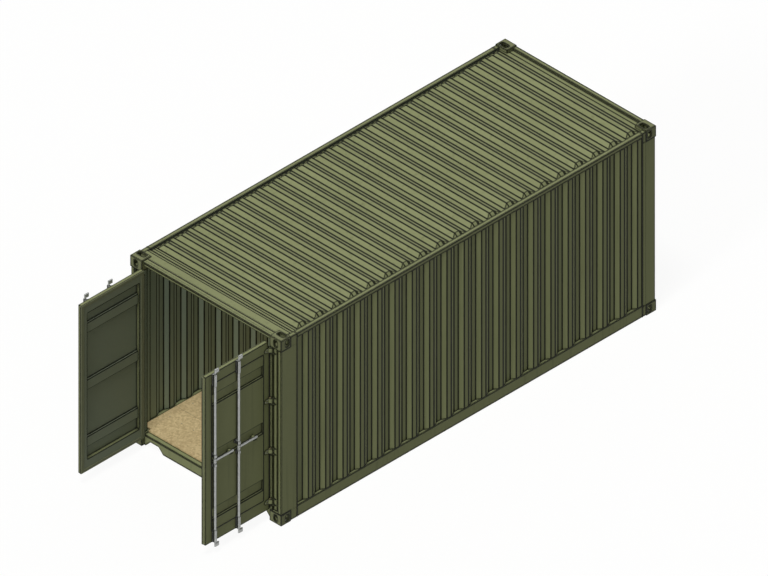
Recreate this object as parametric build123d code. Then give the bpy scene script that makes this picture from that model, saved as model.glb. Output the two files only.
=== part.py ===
from build123d import *

import os

# A twenty-foot dry cargo container with both end doors standing open.
# X runs across it, Y along it with the doors at the low end, Z up from the ground.
# "inset" is measured inwards from the long side, "depth" inwards from an end.

# Overall sizes
overall_width = 2438.0
overall_length = 6058.0
overall_height = 2591.0

# Corner castings
slot_inset = 89.5
slot_depth = 102.5
casting_width = 186.0
casting_length = 156.0
casting_height = 152.0
casting_wall = 26.0
casting_inner_wall = 16.0
casting_edge_chamfer = 5.0
lift_slot_length = 124.0
lift_slot_width = 63.5
face_slot_height = 92.0
face_slot_width = 58.0

# Frame: how far posts and rails stand back from the castings
frame_setback = 5.0
top_setback = 16.0
ground_clearance = 12.0
rail_depth = 60.0
rail_wall = 6.0
bottom_rail_height = 156.0
top_rail_height = 60.0
top_rail_wall = 5.0

# Door-end posts
post_wall = 8.0
post_flange_width = 55.0
post_groove_width = 32.0
post_groove_depth = 40.0
post_inner_setback = 25.0
post_inner_edge = 161.0
post_box_depth = 120.0
post_side_depth = 265.0
post_corner_radius = 14.0

# Front-end posts
front_post_width = 165.0
front_post_depth = 60.0
front_post_side_depth = 216.0
front_post_slope_length = 50.0
front_post_slope_rise = 9.0

# Corrugated sheets
sheet_thickness = 4.0
wall_outer_inset = 8.0
corrugation_depth = 36.0
outer_flat = 72.0
slope_run = 68.0
wall_first_flat = 119.0
wall_rib_count = 20
roof_rib_count = 20
roof_crest_drop = 8.0
roof_crest_end_gap = 22.0
roof_crest_end_run = 40.0
roof_last_flat = 55.0
front_rib_count = 8
front_wall_depth = 12.0
front_corrugation_depth = 44.0
front_flat = 110.0
front_slope_run = 22.0

# Header over the doorway, with its cover plate on the roof
header_face_depth = 36.0
header_top_depth = 20.0
header_recess_depth = 46.0
header_back_depth = 104.0
header_height = 71.0
header_lip_height = 35.0
header_cap_height = 12.0
header_wall = 5.0
header_plate_fold_depth = 214.0
header_plate_end_depth = 278.0
header_plate_foot = 12.0
header_rise = 2.0

# Sill under the doorway
sill_height = 138.0
sill_bottom_flange = 50.0
sill_notch_height = 77.0
sill_notch_flat = 131.0
sill_notch_slope = 75.0
sill_notch_start = 30.0

# Floor and the members under it
floor_thickness = 28.0
floor_edge_depth = 112.0
cross_member_count = 15
cross_member_flange = 45.0
cross_member_wall = 5.0
cross_member_end_margin = 190.0

# Hinge line and door leaves
pivot_inset = 159.5
pivot_depth = 12.0
leaf_face_offset = 33.0
leaf_edge_offset = 9.5
leaf_notch_width = 24.0
leaf_notch_gap = 8.0
leaf_centre_gap = 30.0
leaf_thickness = 49.0
leaf_bottom_gap = 6.0
leaf_top_gap = 5.0
free_stile_width = 100.0
hinge_stile_width = 96.0
leaf_top_rail = 146.0
leaf_bottom_rail = 158.0
leaf_corner_radius = 4.0
panel_rib_height = 158.0
panel_rib_depth = 27.0
panel_rib_slope = 13.0
panel_rib_spacing_share = 0.39
panel_rib_count = 3

# Door gasket
gasket_width = 40.0
gasket_thickness = 6.0
gasket_border = 3.0
gasket_lip_reach = 8.0
gasket_lip_depth = 24.0

# Hinges
hinge_end_margin = 114.0
hinge_count = 4
hinge_pin_radius = 6.0
hinge_barrel_radius = 12.0
hinge_running_clearance = 0.1
blade_height = 64.0
blade_start = 30.0
blade_length = 66.0
blade_thickness = 8.0
blade_tip_chamfer = 18.0
lug_thickness = 16.0
lug_gap = 1.0
lug_root_length = 52.0
cover_reach = 24.0
cover_overlap = 14.0
cover_depth_offset = 7.0
cover_wall = 6.0
cover_end_gap = 6.0

# Lock rods
rod_radius = 15.5
rod_depth_offset = 8.0
rod_edge_distance = 134.5
rod_spacing_share = 0.37
rod_running_clearance = 0.1
guide_reach = 20.0
guide_corner = 11.0
end_guide_length = 168.0
middle_guide_length = 40.0
middle_guide_offset = 45.0
guide_pad_width = 62.0
guide_pad_thickness = 6.0
stub_radius = 10.0
stub_length = 62.0
cam_height = 45.0
cam_reach = 50.0
handle_drop = 41.5
hub_radius = 19.0
hub_height = 64.0
handle_length_share = 0.783
handle_bar_height = 32.0
handle_bar_thickness = 9.0
handle_tip_radius = 12.0
rest_length = 44.0
rest_height = 40.0
rest_clearance = 6.0
rest_lip = 12.0
rest_inset = 62.0

# Flats that stand for a small turned surface
turned_sides = 12

# Reach of a cut beyond the piece that it passes through
overrun = 20.0

# Places worked out from the sizes above
half_width = overall_width / 2
half_length = overall_length / 2
frame_top = overall_height - top_setback
rail_top = ground_clearance + bottom_rail_height
floor_bottom = rail_top - floor_thickness
inner_reach = half_width - frame_setback - rail_depth
casting_reach = half_width - casting_width
upper_casting_bottom = overall_height - casting_height
wall_length = overall_length - post_side_depth - front_post_side_depth
wall_height = frame_top - top_rail_height - rail_top
header_top = frame_top + header_rise
header_bottom = header_top - header_height
sill_top = ground_clearance + sill_height
leaf_bottom = sill_top + leaf_bottom_gap
leaf_top = header_bottom - leaf_top_gap
leaf_height = leaf_top - leaf_bottom
notch_bottom = upper_casting_bottom - leaf_notch_gap
pivot_x = half_width - pivot_inset
pivot_y = pivot_depth - half_length
leaf_width = pivot_x - leaf_edge_offset - leaf_centre_gap / 2
free_edge = leaf_edge_offset + leaf_width
rod_spacing = rod_spacing_share * leaf_width
handle_length = handle_length_share * rod_spacing
panel_left = leaf_edge_offset + hinge_stile_width
panel_right = free_edge - free_stile_width
panel_low = leaf_bottom + leaf_bottom_rail
panel_high = leaf_top - leaf_top_rail
panel_middle = (panel_low + panel_high) / 2
panel_rib_spacing = panel_rib_spacing_share * (panel_high - panel_low)
handle_height = panel_middle - handle_drop
hinge_spacing = (leaf_height - 2 * hinge_end_margin) / (hinge_count - 1)
roof_crest_top = overall_height - roof_crest_drop
roof_valley_top = roof_crest_top - corrugation_depth


def face_of(points):
    """A flat face bounded by straight lines through the points."""
    return make_face(Polyline(*points, close=True))


def plan_bar(points, low, high):
    """A plan outline extruded up from one height to another."""
    return extrude(Pos(0, 0, low) * face_of(points), amount=high - low)


def cross_bar(points, reach):
    """A section given as (y, z), extruded across the container to both sides."""
    section = Plane.YZ * face_of(points)
    return extrude(section, amount=reach, both=True)


def long_bar(points, start, end):
    """A section given as (x, z), extruded along Y."""
    section = Plane.XZ.offset(-start) * face_of(points)
    return extrude(section, amount=start - end)


def plan_box(x_low, x_high, y_low, y_high, z_low, z_high):
    """A plain rectangular prism between two corners."""
    corners = [(x_low, y_low), (x_high, y_low), (x_high, y_high), (x_low, y_high)]
    return plan_bar(corners, z_low, z_high)


def both_sides(piece):
    """The piece of the right side together with its mirror image on the left."""
    return Compound(children=[piece, mirror(piece, about=Plane.YZ)])


def corner_points(pairs, end):
    """Plan points of the right-hand corner at one end, from (inset, depth) pairs."""
    return [(half_width - inset, end * (half_length - depth)) for inset, depth in pairs]


def sheet(line, thickness, axis):
    """A closed outline of a folded sheet: its line, and the same line moved by its thickness."""
    moved = [(x + thickness * axis[0], y + thickness * axis[1]) for x, y in line]
    return line + moved[::-1]


def turned(radius):
    """A many-sided outline whose flats touch a circle."""
    return RegularPolygon(radius, turned_sides, major_radius=False)


def save(piece, name):
    """Write one named piece."""
    export_step(piece, os.path.join("parts", name + ".step"))


def casting(end, upper):
    """A hollow corner casting with an opening in its level face, its end and its side."""
    x_low = half_width - casting_width
    block = plan_box(x_low, half_width, half_length - casting_length, half_length,
                     overall_height - casting_height, overall_height)
    block = chamfer(block.edges().group_by(Axis.Z)[-1], casting_edge_chamfer)
    cavity = plan_box(x_low + casting_inner_wall, half_width - casting_wall,
                      half_length - casting_length + casting_inner_wall,
                      half_length - casting_wall,
                      overall_height - casting_height + casting_inner_wall,
                      overall_height - casting_wall)
    slot_x = half_width - slot_inset
    slot_y = half_length - slot_depth
    level = Pos(slot_x, slot_y, overall_height - casting_wall - overrun / 2)
    lift_slot = extrude(level * SlotOverall(lift_slot_length, lift_slot_width),
                        amount=casting_wall + overrun)
    middle = overall_height - casting_height / 2
    upright = SlotOverall(face_slot_height, face_slot_width, rotation=90)
    end_plane = Plane(origin=(slot_x, half_length + overrun / 2, middle),
                      x_dir=(1, 0, 0), z_dir=(0, -1, 0))
    end_slot = extrude(end_plane * upright, amount=casting_wall + overrun)
    side_plane = Plane(origin=(half_width + overrun / 2, slot_y, middle),
                       x_dir=(0, 1, 0), z_dir=(-1, 0, 0))
    side_slot = extrude(side_plane * upright, amount=casting_wall + overrun)
    piece = block - cavity - lift_slot - end_slot - side_slot
    if end < 0:
        piece = mirror(piece, about=Plane.XZ)
    if not upper:
        piece = mirror(piece, about=Plane.XY.offset(overall_height / 2))
    return piece


def hollow_bar(points, wall, low, high, corner, radius):
    """An upright hollow section with one rounded outer corner."""
    outline = face_of(points)
    rounded = fillet(outline.vertices().sort_by_distance(corner)[:1], radius)
    inside = offset(rounded, amount=-wall)
    return extrude(Pos(0, 0, low) * (rounded - inside), amount=high - low)


def door_post():
    """Door-end post: outer flange, groove, set-back inner flange and deep side face."""
    face = frame_setback
    groove_start = face + post_flange_width
    groove_end = groove_start + post_groove_width
    inner_face = face + post_inner_setback
    side_inner = frame_setback + rail_depth
    outline = [
        (face, face),
        (groove_start, face),
        (groove_start, face + post_groove_depth),
        (groove_end, face + post_groove_depth),
        (groove_end, inner_face),
        (post_inner_edge, inner_face),
        (post_inner_edge, post_box_depth),
        (side_inner, post_box_depth),
        (side_inner, post_side_depth),
        (face, post_side_depth),
    ]
    points = corner_points(outline, -1)
    main = hollow_bar(points, post_wall, casting_height, overall_height - casting_height,
                      points[0], post_corner_radius)
    tails = post_tails(-1, post_side_depth)
    return Compound(children=[main, *tails.solids()])


def post_tails(end, side_depth):
    """The post's side plate, carried past the castings down to the rail and up to the roof."""
    side_inner = frame_setback + rail_depth
    tail = [
        (frame_setback, casting_length),
        (side_inner, casting_length),
        (side_inner, side_depth),
        (frame_setback, side_depth),
    ]
    points = corner_points(tail, end)
    outline = face_of(points)
    ring = outline - offset(outline, amount=-post_wall)
    lower = extrude(Pos(0, 0, ground_clearance) * ring, amount=casting_height - ground_clearance)
    top_start = overall_height - casting_height
    upper = extrude(Pos(0, 0, top_start) * ring, amount=frame_top - top_start)
    cap = plan_bar(points, frame_top - post_wall, frame_top)
    foot = plan_bar(points, ground_clearance, ground_clearance + post_wall)
    return Compound(children=[lower + foot, upper + cap])


def front_post():
    """Front-end post: an angle whose side face slopes in to meet the wall."""
    side_inner = frame_setback + rail_depth
    outline = [
        (frame_setback, frame_setback),
        (front_post_width, frame_setback),
        (front_post_width, front_post_depth),
        (side_inner, front_post_depth),
        (side_inner, front_post_side_depth),
        (frame_setback + front_post_slope_rise, front_post_side_depth),
        (frame_setback, front_post_side_depth - front_post_slope_length),
    ]
    points = corner_points(outline, 1)
    main = hollow_bar(points, post_wall, casting_height, overall_height - casting_height,
                      points[0], post_corner_radius)
    return main + post_tails(1, front_post_side_depth)


def bottom_rail():
    """Bottom side rail: a channel open to the inside, whose top flange carries the wall."""
    x_out = half_width - frame_setback
    x_in = inner_reach
    low = ground_clearance
    section = [
        (x_out, low),
        (x_out, rail_top),
        (x_in, rail_top),
        (x_in, rail_top - rail_wall),
        (x_out - rail_wall, rail_top - rail_wall),
        (x_out - rail_wall, low + rail_wall),
        (x_in, low + rail_wall),
        (x_in, low),
    ]
    return long_bar(section, post_side_depth - half_length, half_length - front_post_side_depth)


def top_rail():
    """Top side rail: a square tube between the posts."""
    centre_x = half_width - frame_setback - rail_depth / 2
    start = post_side_depth - half_length
    end = half_length - front_post_side_depth
    plane = Plane.XZ.offset(-start)
    place = Pos(centre_x, frame_top - top_rail_height / 2)
    outer = Rectangle(rail_depth, top_rail_height)
    inner = Rectangle(rail_depth - 2 * top_rail_wall, top_rail_height - 2 * top_rail_wall)
    return extrude(plane * (place * (outer - inner)), amount=start - end)


def corrugated_line(start, first_flat, pitch, count, flat, run, low, high, last):
    """Points of a folded sheet from low flats up to high flats and back."""
    line = [(start, low)]
    for index in range(count):
        rise = start + first_flat + index * pitch
        line += [(rise, low), (rise + run, high), (rise + run + flat, high)]
        if index < count - 1 or last > rise + 2 * run + flat:
            line.append((rise + 2 * run + flat, low))
    if last > line[-1][0]:
        line.append((last, line[-1][1]))
    return line


def side_wall():
    """Side wall: upright trapezoid ribs, from the door post to the front post."""
    start = post_side_depth - half_length
    last = half_length - front_post_side_depth
    outer_x = half_width - wall_outer_inset
    inner_x = outer_x - corrugation_depth
    pitch = (wall_length - wall_first_flat - slope_run - outer_flat) / (wall_rib_count - 1)
    line = corrugated_line(start, wall_first_flat, pitch, wall_rib_count, outer_flat,
                           slope_run, inner_x, outer_x, last)
    outline = [(x, y) for y, x in sheet(line, -sheet_thickness, (0, 1))]
    return plan_bar(outline, rail_top, rail_top + wall_height)


def front_wall():
    """Front wall: wider upright ribs between the front posts, notched round the castings."""
    reach = half_width - front_post_width
    outer_y = half_length - front_wall_depth
    inner_y = outer_y - front_corrugation_depth
    pitch = 2 * reach / front_rib_count
    first = (pitch - front_flat - 2 * front_slope_run) / 2
    line = corrugated_line(-reach, first, pitch, front_rib_count, front_flat,
                           front_slope_run, inner_y, outer_y, reach)
    panel = plan_bar(sheet(line, -sheet_thickness, (0, 1)), rail_top, rail_top + wall_height)
    notch = plan_box(casting_reach, reach + overrun, inner_y - overrun, half_length,
                     overall_height - casting_height, overall_height)
    return panel - notch - mirror(notch, about=Plane.YZ)


def roof():
    """Roof sheet with cross ribs that end in slopes just before the top rails."""
    start = header_plate_end_depth - half_length
    last = half_length - frame_setback - rail_depth
    first = outer_flat
    pitch = (last - start - first - roof_last_flat) / roof_rib_count
    valley = roof_valley_top
    line = corrugated_line(start, first, pitch, roof_rib_count, outer_flat,
                           slope_run, valley, roof_crest_top, last)
    under = valley - sheet_thickness
    ribs = cross_bar(line + [(last, under), (start, under)], inner_reach)
    low_line = [(y, z - sheet_thickness) for y, z in line]
    hollow = cross_bar(low_line + [(last, under - overrun), (start, under - overrun)],
                       inner_reach + overrun)
    outer = rib_ends(0, under, start, last)
    inner = rib_ends(sheet_thickness, under - overrun, start, last)
    flat = plan_box(-inner_reach, inner_reach, start, last, under, valley)
    skin = (ribs & outer) + flat
    sheet_piece = skin - (hollow & inner)
    notch = plan_box(casting_reach, inner_reach + overrun, half_length - casting_length,
                     half_length, under - overrun, overall_height)
    return sheet_piece - notch - mirror(notch, about=Plane.YZ)


def rib_ends(inset, low, start, last):
    """The trapezoid, seen from an end, inside which the roof's ribs stand."""
    foot = inner_reach - roof_crest_end_gap - inset
    crest = foot - roof_crest_end_run
    top = roof_crest_top - inset
    section = [
        (-foot, low),
        (foot, low),
        (foot, roof_valley_top - inset),
        (crest, top),
        (-crest, top),
        (-foot, roof_valley_top - inset),
    ]
    return long_bar(section, start, last)


def door_header():
    """Header beam with its drip recess and lower lip, and the cover plate behind it."""
    y = -half_length
    top = header_top
    cap_low = top - header_cap_height
    lip_top = header_bottom + header_lip_height
    outline = face_of([
        (y + header_top_depth, top),
        (y + header_top_depth, cap_low),
        (y + header_recess_depth, cap_low - header_wall),
        (y + header_recess_depth, lip_top),
        (y + header_face_depth, lip_top),
        (y + header_face_depth, header_bottom),
        (y + header_back_depth, header_bottom),
        (y + header_back_depth, top),
    ])
    bore = face_of([
        (y + header_recess_depth + header_wall, header_bottom + header_wall),
        (y + header_recess_depth + header_wall, top - header_wall),
        (y + header_back_depth - header_wall, top - header_wall),
        (y + header_back_depth - header_wall, header_bottom + header_wall),
    ])
    beam = extrude(Plane.YZ * (outline - bore), amount=casting_reach, both=True)
    neck = cross_bar([
        (y + header_back_depth, top),
        (y + casting_length, top),
        (y + casting_length, top - sheet_thickness),
        (y + header_back_depth, top - sheet_thickness),
    ], casting_reach)
    plate_line = [
        (y + casting_length, top),
        (y + header_plate_fold_depth, top),
        (y + header_plate_end_depth - header_plate_foot, roof_valley_top),
        (y + header_plate_end_depth, roof_valley_top),
    ]
    plate = cross_bar(sheet(plate_line, -sheet_thickness, (0, 1)), inner_reach)
    return beam + neck + plate


def door_sill():
    """Door sill: a channel with a notch in its lower edge beside each casting."""
    y = -half_length
    face = y + header_face_depth
    low = ground_clearance
    back = y + floor_edge_depth
    channel = cross_bar([
        (face, low),
        (face, sill_top),
        (back, sill_top),
        (back, sill_top - rail_wall),
        (face + rail_wall, sill_top - rail_wall),
        (face + rail_wall, low + rail_wall),
        (face + sill_bottom_flange, low + rail_wall),
        (face + sill_bottom_flange, low),
    ], casting_reach)
    outer = casting_reach - sill_notch_start
    top = low + sill_notch_height
    notch = long_bar([
        (outer, low),
        (outer, low - overrun),
        (outer - 2 * sill_notch_slope - sill_notch_flat, low - overrun),
        (outer - 2 * sill_notch_slope - sill_notch_flat, low),
        (outer - sill_notch_slope - sill_notch_flat, top),
        (outer - sill_notch_slope, top),
    ], y, back + overrun)
    return channel - notch - mirror(notch, about=Plane.YZ)


def front_bottom_rail():
    """Front bottom rail: a channel open to the inside between the castings."""
    face = half_length - front_wall_depth + frame_setback
    low = ground_clearance
    back = face - rail_depth
    return cross_bar([
        (face, low),
        (face, rail_top),
        (back, rail_top),
        (back, rail_top - rail_wall),
        (face - rail_wall, rail_top - rail_wall),
        (face - rail_wall, low + rail_wall),
        (back, low + rail_wall),
        (back, low),
    ], casting_reach)


def front_top_rail():
    """Front top rail: a square tube between the castings."""
    centre_y = half_length - frame_setback - rail_depth / 2
    place = Pos(centre_y, frame_top - top_rail_height / 2)
    outer = Rectangle(rail_depth, top_rail_height)
    inner = Rectangle(rail_depth - 2 * top_rail_wall, top_rail_height - 2 * top_rail_wall)
    return extrude(Plane.YZ * (place * (outer - inner)), amount=casting_reach, both=True)


def floor_end_depth():
    """Depth of the floor's front edge, where the front bottom rail's flange begins."""
    return front_wall_depth - frame_setback + rail_depth


def floor():
    """Floor deck, narrower at both ends where it passes between the castings."""
    door_edge = floor_edge_depth - half_length
    front_edge = half_length - floor_end_depth()
    door_shoulder = casting_length - half_length
    front_shoulder = half_length - casting_length
    half = [
        (casting_reach, door_edge),
        (casting_reach, door_shoulder),
        (inner_reach, door_shoulder),
        (inner_reach, front_shoulder),
        (casting_reach, front_shoulder),
        (casting_reach, front_edge),
    ]
    outline = half + [(-x, y) for x, y in half[::-1]]
    return plan_bar(outline, floor_bottom, rail_top)


def cross_members():
    """Channels under the floor, from one bottom side rail to the other."""
    start = post_side_depth + cross_member_end_margin - half_length
    end = half_length - front_post_side_depth - cross_member_end_margin
    pitch = (end - start) / (cross_member_count - 1)
    low = ground_clearance + rail_wall
    reach = half_width - frame_setback - rail_wall
    members = []
    for index in range(cross_member_count):
        web = start + index * pitch
        section = [
            (web, low),
            (web + cross_member_flange, low),
            (web + cross_member_flange, low + cross_member_wall),
            (web + cross_member_wall, low + cross_member_wall),
            (web + cross_member_wall, floor_bottom - cross_member_wall),
            (web + cross_member_flange, floor_bottom - cross_member_wall),
            (web + cross_member_flange, floor_bottom),
            (web, floor_bottom),
        ]
        members.append(cross_bar(section, reach))
    return Compound(children=members)


def hinge_heights():
    """Height of the middle of each hinge."""
    first = leaf_bottom + hinge_end_margin
    return [first + index * hinge_spacing for index in range(hinge_count)]


def hinge_covers():
    """Angles on the left post, between the hinges and beyond them, that hide the leaf's edge."""
    post_face = frame_setback + post_inner_setback - pivot_depth
    root = -cover_overlap
    section = face_of([
        (root, post_face),
        (root, -cover_depth_offset),
        (cover_reach, -cover_depth_offset),
        (cover_reach, cover_wall - cover_depth_offset),
        (root + cover_wall, cover_wall - cover_depth_offset),
        (root + cover_wall, post_face),
    ])
    half_hinge = blade_height / 2 + lug_gap + lug_thickness + cover_end_gap
    stops = [casting_height + cover_end_gap]
    for height in hinge_heights():
        stops += [height - half_hinge, height + half_hinge]
    spans = zip(stops[::2], stops[1::2])
    return [extrude(Pos(0, 0, low) * section, amount=high - low) for low, high in spans]


def hinge_lugs():
    """Pairs of lugs on the left post, each pair with its pin, and the covers between them."""
    post_face = frame_setback + post_inner_setback - pivot_depth
    root_x = post_inner_edge - pivot_inset
    eye = turned(hinge_barrel_radius).edges()
    root = Line((-lug_root_length, post_face), (root_x, post_face))
    section = make_hull([*eye, root])
    pieces = []
    for height in hinge_heights():
        lower = height - blade_height / 2 - lug_gap - lug_thickness
        upper = height + blade_height / 2 + lug_gap
        span = upper + lug_thickness - lower
        low_lug = extrude(Pos(0, 0, lower) * section, amount=lug_thickness)
        high_lug = extrude(Pos(0, 0, upper) * section, amount=lug_thickness)
        pin = extrude(Pos(0, 0, lower) * Circle(hinge_pin_radius), amount=span)
        pieces.append(low_lug + high_lug + pin)
    return Compound(children=pieces + hinge_covers())


def leaf_frame():
    """Door leaf frame: two stiles and two rails, cut back at the corner by the casting."""
    outer = Rectangle(leaf_width, leaf_height, align=(Align.MIN, Align.MIN))
    opening = Rectangle(panel_right - panel_left,
                        leaf_height - leaf_bottom_rail - leaf_top_rail,
                        align=(Align.MIN, Align.MIN))
    notch = Pos(0, notch_bottom - leaf_bottom) * Rectangle(
        leaf_notch_width, leaf_top - notch_bottom, align=(Align.MIN, Align.MIN))
    ring = outer - Pos(hinge_stile_width, leaf_bottom_rail) * opening - notch
    plane = Plane(origin=(leaf_edge_offset, leaf_face_offset + leaf_thickness, leaf_bottom),
                  x_dir=(1, 0, 0), z_dir=(0, -1, 0))
    frame = extrude(plane * ring, amount=leaf_thickness)
    outer_edges = frame.edges().filter_by(Axis.Z).group_by(Axis.Y)[0].sort_by(Axis.X)
    return fillet([outer_edges[0], outer_edges[-1]], leaf_corner_radius)


def leaf_panel():
    """Door panel sheet with level ribs pressed inwards."""
    face = leaf_face_offset
    deep = face + panel_rib_depth
    line = [(face, panel_low)]
    for index in range(panel_rib_count):
        centre = panel_middle + (index - (panel_rib_count - 1) / 2) * panel_rib_spacing
        foot = centre - panel_rib_height / 2
        head = centre + panel_rib_height / 2
        line += [
            (face, foot),
            (deep, foot + panel_rib_slope),
            (deep, head - panel_rib_slope),
            (face, head),
        ]
    line.append((face, panel_high))
    section = Plane.YZ.offset(panel_left) * face_of(sheet(line, sheet_thickness, (1, 0)))
    return extrude(section, amount=panel_right - panel_left)


def leaf_gasket():
    """Gasket on the back of the leaf, with a tapered lip along its free edge."""
    back = leaf_face_offset + leaf_thickness
    left = leaf_edge_offset + leaf_notch_width + gasket_border
    right = free_edge - gasket_border
    low = leaf_bottom + gasket_border
    high = leaf_top - gasket_border
    outer = plan_box(left, right, back, back + gasket_thickness, low, high)
    inner = plan_box(left + gasket_width, right - gasket_width, back - overrun,
                     back + gasket_thickness + overrun, low + gasket_width, high - gasket_width)
    lip = [
        (free_edge, back - gasket_lip_depth),
        (free_edge + gasket_lip_reach, back - gasket_lip_depth / 2),
        (free_edge + gasket_lip_reach, back),
        (right, back + gasket_thickness),
        (right, back),
        (free_edge, back),
    ]
    return (outer - inner) + plan_bar(lip, low, high)


def hinge_blades():
    """Hinge blades: a strap on the leaf's face whose barrel turns on the pin."""
    hole = Circle(hinge_pin_radius + hinge_running_clearance)
    strap_front = leaf_face_offset - blade_thickness
    strap_end = blade_start + blade_length
    shoulder = Line((blade_start + blade_thickness, strap_front),
                    (blade_start, leaf_face_offset))
    neck = make_hull([*turned(hinge_barrel_radius).edges(), shoulder])
    strap = face_of([
        (blade_start, strap_front),
        (strap_end, strap_front),
        (strap_end, leaf_face_offset),
        (blade_start, leaf_face_offset),
    ])
    pieces = []
    for height in hinge_heights():
        low = Pos(0, 0, height - blade_height / 2)
        plate = extrude(low * strap, amount=blade_height)
        tips = plate.edges().filter_by(Axis.Y).group_by(Axis.X)[-1]
        plate = chamfer(tips, blade_tip_chamfer)
        knuckle = extrude(low * (neck - hole), amount=blade_height)
        pieces.append(plate + knuckle)
    return Compound(children=pieces)


def rod_places():
    """Distance of the two rods from the hinge line: the outer rod is by the hinge."""
    near_free = free_edge - rod_edge_distance
    return {"inner": near_free, "outer": near_free - rod_spacing}


def guide(place, low, length, base):
    """A bored block that holds a rod off the face or rib floor at the depth base."""
    back = base - rod_depth_offset
    side = guide_pad_width / 2
    shoulder = back - guide_pad_thickness
    block = face_of([
        (-side, back),
        (-side, shoulder),
        (-guide_reach, shoulder),
        (-guide_reach, guide_corner - guide_reach),
        (guide_corner - guide_reach, -guide_reach),
        (guide_reach - guide_corner, -guide_reach),
        (guide_reach, guide_corner - guide_reach),
        (guide_reach, shoulder),
        (side, shoulder),
        (side, back),
    ])
    section = block - turned(rod_radius + rod_running_clearance)
    return extrude(Pos(place, rod_depth_offset, low) * section, amount=length)


def rod_guides():
    """All guides of one leaf: a long one at each end of a rod and two beside the handle."""
    face = leaf_face_offset
    below = handle_height - middle_guide_offset - middle_guide_length
    above = handle_height + middle_guide_offset
    rows = [
        (leaf_bottom, end_guide_length, face),
        (leaf_top - end_guide_length, end_guide_length, face),
        (below, middle_guide_length, face),
        (above, middle_guide_length, face + panel_rib_depth),
    ]
    pieces = []
    for place in rod_places().values():
        pieces += [guide(place, low, length, base) for low, length, base in rows]
    return Compound(children=pieces)


def handle_rests():
    """Brackets under the handles, each standing in the middle rib with a lip below the bar."""
    pieces = []
    back = leaf_face_offset + panel_rib_depth
    root = panel_middle - panel_rib_height / 2 + panel_rib_slope
    bar_back = rod_depth_offset + handle_bar_thickness / 2
    front = bar_back + rest_clearance
    low = handle_height - handle_bar_height / 2 - rest_clearance - rest_lip
    for place in rod_places().values():
        end = place - handle_length + rest_inset
        section = Plane.YZ.offset(end - rest_length) * face_of([
            (leaf_face_offset, low),
            (leaf_face_offset, root),
            (back, root),
            (back, low + rest_height),
            (front + rest_lip / 2, low + rest_height),
            (front, low + rest_height - rest_lip / 2),
            (front, low + rest_lip),
            (rod_depth_offset - handle_bar_thickness, low + rest_lip),
            (rod_depth_offset - handle_bar_thickness, low),
        ])
        pieces.append(extrude(section, amount=rest_length))
    return Compound(children=pieces)


def cam(place, low):
    """Locking cam: a boss on the rod's stub with a blunt tongue to the hinge side."""
    boss = turned(stub_radius).edges()
    tip = (Pos(-cam_reach, 0) * turned(stub_radius)).edges()
    section = make_hull([*boss, *tip])
    return extrude(Pos(place, rod_depth_offset, low) * section, amount=cam_height)


def lock_rod(place):
    """A lock rod with its reduced ends and a cam on each."""
    spot = Pos(place, rod_depth_offset)
    bar = extrude(Pos(0, 0, leaf_bottom) * (spot * Circle(rod_radius)), amount=leaf_height)
    stubs = extrude(Pos(0, 0, leaf_bottom - stub_length) * (spot * turned(stub_radius)),
                    amount=leaf_height + 2 * stub_length)
    low_cam = cam(place, leaf_bottom - stub_length)
    high_cam = cam(place, leaf_top + stub_length - cam_height)
    return bar + stubs + low_cam + high_cam


def handle(place):
    """Flat bar handle with the hub that clamps it to the rod."""
    spot = Pos(place, rod_depth_offset)
    hub_low = handle_height - hub_height / 2
    hub = extrude(Pos(0, 0, hub_low) * (spot * (turned(hub_radius) - Circle(rod_radius))),
                  amount=hub_height)
    bar = Plane(origin=(place, rod_depth_offset + handle_bar_thickness / 2, handle_height),
                x_dir=(-1, 0, 0), z_dir=(0, -1, 0))
    profile = Pos(handle_length / 2, 0) * RectangleRounded(handle_length, handle_bar_height,
                                                           handle_tip_radius)
    grip = extrude(bar * profile, amount=handle_bar_thickness)
    bore = extrude(Pos(0, 0, hub_low) * (spot * Circle(rod_radius)), amount=hub_height)
    return hub + (grip - bore)


def leaf_pieces():
    """Every piece that rides the left door, placed as if the door were closed."""
    places = rod_places()
    pieces = {
        "door_frame": leaf_frame(),
        "door_panel": leaf_panel(),
        "door_gasket": leaf_gasket(),
        "hinge_blades": hinge_blades(),
        "rod_guides": rod_guides(),
        "handle_rests": handle_rests(),
    }
    for name, place in places.items():
        pieces[name + "_lock_rod"] = lock_rod(place)
        pieces[name + "_handle"] = handle(place)
    return pieces


def container_pieces():
    """Every fixed piece of the container."""
    pieces = {}
    for end, end_name in ((-1, "door"), (1, "front")):
        for upper, level in ((True, "top"), (False, "bottom")):
            name = level + "_castings_" + end_name + "_end"
            pieces[name] = both_sides(casting(end, upper))
    for name, piece in (
        ("door_post", door_post()),
        ("front_post", front_post()),
        ("bottom_side_rail", bottom_rail()),
        ("top_side_rail", top_rail()),
        ("side_wall", side_wall()),
    ):
        pieces["right_" + name] = piece
        pieces["left_" + name] = mirror(piece, about=Plane.YZ)
    lugs = Pos(-pivot_x, pivot_y) * hinge_lugs()
    pieces["left_hinge_lugs"] = lugs
    pieces["right_hinge_lugs"] = mirror(lugs, about=Plane.YZ)
    pieces["door_header"] = door_header()
    pieces["door_sill"] = door_sill()
    pieces["front_top_rail"] = front_top_rail()
    pieces["front_bottom_rail"] = front_bottom_rail()
    pieces["front_wall"] = front_wall()
    pieces["roof"] = roof()
    pieces["floor"] = floor()
    pieces["cross_members"] = cross_members()
    return pieces


os.makedirs("parts", exist_ok=True)

for piece_name, solid in container_pieces().items():
    save(solid, piece_name)

# Both doors stand open at a right angle.
open_place = Pos(-pivot_x, pivot_y) * Rot(0, 0, -90)
for piece_name, solid in leaf_pieces().items():
    left_piece = open_place * solid
    save(left_piece, "left_" + piece_name)
    save(mirror(left_piece, about=Plane.YZ), "right_" + piece_name)
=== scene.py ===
import math

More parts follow.
